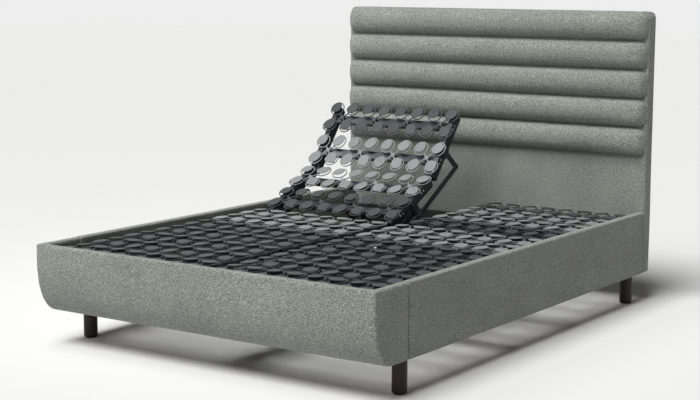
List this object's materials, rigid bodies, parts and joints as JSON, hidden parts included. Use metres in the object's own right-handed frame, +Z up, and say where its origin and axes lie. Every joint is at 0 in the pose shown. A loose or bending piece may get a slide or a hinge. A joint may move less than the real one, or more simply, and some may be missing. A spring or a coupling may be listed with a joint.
{
  "type": "adjustable bed base",
  "caption": "Upholstered bedstead with padded roll headboard that holds two side-by-side adjustable disc-spring bases, the left one raised at back and head.",
  "frame": {"origin": "on the floor, under the middle of the bedstead", "axes": "+Y from the foot to the headboard, +X to the right-hand side seen from the foot, +Z up"},
  "size_m": [1.6, 2.234, 1.3],
  "materials": {
    "rail_fabric": "heathered woven upholstery over thin foam",
    "headboard_fabric": "heathered woven upholstery over foam rolls",
    "rear_fabric": "plain dark backing cloth",
    "board_wood": "raw plywood",
    "leg_wood": "dark stained beech, satin",
    "glide_plastic": "moulded",
    "base_steel": "black powder coat",
    "zinc_steel": "zinc plated",
    "disc_dark": "satin moulded",
    "disc_light": "satin moulded",
    "frame_steel": "dark blue-grey powder coat",
    "drive_casing": "fine grain moulded",
    "nut_plastic": "natural nylon"
  },
  "bodies": {
    "bedstead": {"foot_panel": "rail_fabric", "left_side_rail": "rail_fabric", "right_side_rail": "rail_fabric", "headboard_board": "board_wood", "headboard_lower_pad": "headboard_fabric", "headboard_rolls": "headboard_fabric", "headboard_rear_cover": "rear_fabric", "front_left_leg": "leg_wood", "front_right_leg": "leg_wood", "rear_left_leg": "leg_wood", "rear_right_leg": "leg_wood", "leg_glides": "glide_plastic", "corner_blocks": "board_wood", "rail_cleats": "board_wood", "centre_beam": "base_steel", "corner_brackets": "base_steel", "fasteners": "zinc_steel", "left_base_frame": "base_steel", "left_seat_frame": "frame_steel", "left_seat_pins": "zinc_steel", "left_seat_discs": "disc_light", "left_drive_housing": "drive_casing", "left_drive_motors": "zinc_steel", "right_base_frame": "base_steel", "right_seat_frame": "frame_steel", "right_seat_pins": "zinc_steel", "right_seat_discs": "disc_light", "right_drive_housing": "drive_casing", "right_drive_motors": "zinc_steel"},
    "left_back": {"left_back_frame": "frame_steel", "left_back_discs": "disc_dark", "left_back_pins": "zinc_steel"},
    "left_head": {"left_head_frame": "frame_steel", "left_head_discs": "disc_dark"},
    "left_thigh": {"left_thigh_frame": "frame_steel", "left_thigh_discs": "disc_dark", "left_thigh_pins": "zinc_steel"},
    "left_calf": {"left_calf_frame": "frame_steel", "left_calf_discs": "disc_dark"},
    "left_back_shaft": {"left_back_shaft": "frame_steel"},
    "left_leg_shaft": {"left_leg_shaft": "frame_steel"},
    "left_back_nut": {"left_back_nut": "nut_plastic"},
    "left_leg_nut": {"left_leg_nut": "nut_plastic"},
    "left_neck_link": {"left_neck_link": "frame_steel"},
    "right_back": {"right_back_frame": "frame_steel", "right_back_discs": "disc_dark", "right_back_pins": "zinc_steel"},
    "right_head": {"right_head_frame": "frame_steel", "right_head_discs": "disc_dark"},
    "right_thigh": {"right_thigh_frame": "frame_steel", "right_thigh_discs": "disc_dark", "right_thigh_pins": "zinc_steel"},
    "right_calf": {"right_calf_frame": "frame_steel", "right_calf_discs": "disc_dark"},
    "right_back_shaft": {"right_back_shaft": "frame_steel"},
    "right_leg_shaft": {"right_leg_shaft": "frame_steel"},
    "right_back_nut": {"right_back_nut": "nut_plastic"},
    "right_leg_nut": {"right_leg_nut": "nut_plastic"},
    "right_neck_link": {"right_neck_link": "frame_steel"}
  },
  "joints": [
    {"name": "left_back_lift", "type": "hinge", "parent": "bedstead", "child": "left_back", "pos_m": [-0.384, 0.261, 0.35], "axis": [1, 0, 0], "range_deg": [-26.5, 33.5]},
    {"name": "left_head_tilt", "type": "hinge", "parent": "left_back", "child": "left_head", "pos_m": [-0.384, 0.62121, 0.5296], "axis": [1, 0, 0], "range_deg": [-25, 10]},
    {"name": "left_thigh_lift", "type": "hinge", "parent": "bedstead", "child": "left_thigh", "pos_m": [-0.384, -0.141, 0.35], "axis": [-1, 0, 0], "range_deg": [0, 32]},
    {"name": "left_calf_fold", "type": "hinge", "parent": "left_thigh", "child": "left_calf", "pos_m": [-0.384, -0.523, 0.35], "axis": [1, 0, 0], "range_deg": [0, 55]},
    {"name": "left_back_shaft_turn", "type": "hinge", "parent": "bedstead", "child": "left_back_shaft", "pos_m": [-0.384, 0.261, 0.3], "axis": [1, 0, 0], "range_deg": [-25.04, 31.39]},
    {"name": "left_leg_shaft_turn", "type": "hinge", "parent": "bedstead", "child": "left_leg_shaft", "pos_m": [-0.384, -0.141, 0.3], "axis": [-1, 0, 0], "range_deg": [0, 30.79]},
    {"name": "left_back_nut_slide", "type": "slide", "parent": "bedstead", "child": "left_back_nut", "axis": [0, 1, 0], "range_m": [-0.026, 0.0327]},
    {"name": "left_leg_nut_slide", "type": "slide", "parent": "bedstead", "child": "left_leg_nut", "axis": [0, -1, 0], "range_m": [0, 0.0329]},
    {"name": "left_neck_link_swing", "type": "hinge", "parent": "left_head", "child": "left_neck_link", "pos_m": [-0.384, 0.81208, 0.57839], "axis": [1, 0, 0], "range_deg": [-6.04, 13.6]},
    {"name": "right_back_lift", "type": "hinge", "parent": "bedstead", "child": "right_back", "pos_m": [0.384, 0.261, 0.35], "axis": [1, 0, 0], "range_deg": [0, 60]},
    {"name": "right_head_tilt", "type": "hinge", "parent": "right_back", "child": "right_head", "pos_m": [0.384, 0.6635, 0.35], "axis": [1, 0, 0], "range_deg": [0, 35]},
    {"name": "right_thigh_lift", "type": "hinge", "parent": "bedstead", "child": "right_thigh", "pos_m": [0.384, -0.141, 0.35], "axis": [-1, 0, 0], "range_deg": [0, 32]},
    {"name": "right_calf_fold", "type": "hinge", "parent": "right_thigh", "child": "right_calf", "pos_m": [0.384, -0.523, 0.35], "axis": [1, 0, 0], "range_deg": [0, 55]},
    {"name": "right_back_shaft_turn", "type": "hinge", "parent": "bedstead", "child": "right_back_shaft", "pos_m": [0.384, 0.261, 0.3], "axis": [1, 0, 0], "range_deg": [-1, 55.43]},
    {"name": "right_leg_shaft_turn", "type": "hinge", "parent": "bedstead", "child": "right_leg_shaft", "pos_m": [0.384, -0.141, 0.3], "axis": [-1, 0, 0], "range_deg": [0, 30.79]},
    {"name": "right_back_nut_slide", "type": "slide", "parent": "bedstead", "child": "right_back_nut", "axis": [0, 1, 0], "range_m": [-0.001, 0.0577]},
    {"name": "right_leg_nut_slide", "type": "slide", "parent": "bedstead", "child": "right_leg_nut", "axis": [0, -1, 0], "range_m": [0, 0.0329]},
    {"name": "right_neck_link_swing", "type": "hinge", "parent": "right_head", "child": "right_neck_link", "pos_m": [0.384, 0.8205, 0.231], "axis": [1, 0, 0], "range_deg": [-18.64, 1]}
  ],
  "couplings": [
    {"joint": "left_calf_fold", "follows": "left_thigh_lift", "ratio": 1.7},
    {"joint": "left_back_shaft_turn", "follows": "left_back_lift", "ratio": 0.9071},
    {"joint": "left_leg_shaft_turn", "follows": "left_thigh_lift", "ratio": 0.9309},
    {"joint": "left_back_nut_slide", "follows": "left_back_lift", "m_per_rad": 0.05415},
    {"joint": "left_leg_nut_slide", "follows": "left_thigh_lift", "m_per_rad": 0.05707},
    {"joint": "left_neck_link_swing", "follows": "left_head_tilt", "ratio": -0.504},
    {"joint": "right_calf_fold", "follows": "right_thigh_lift", "ratio": 1.7},
    {"joint": "right_back_shaft_turn", "follows": "right_back_lift", "ratio": 0.9071},
    {"joint": "right_leg_shaft_turn", "follows": "right_thigh_lift", "ratio": 0.9309},
    {"joint": "right_back_nut_slide", "follows": "right_back_lift", "m_per_rad": 0.05415},
    {"joint": "right_leg_nut_slide", "follows": "right_thigh_lift", "m_per_rad": 0.05707},
    {"joint": "right_neck_link_swing", "follows": "right_head_tilt", "ratio": -0.504}
  ]
}
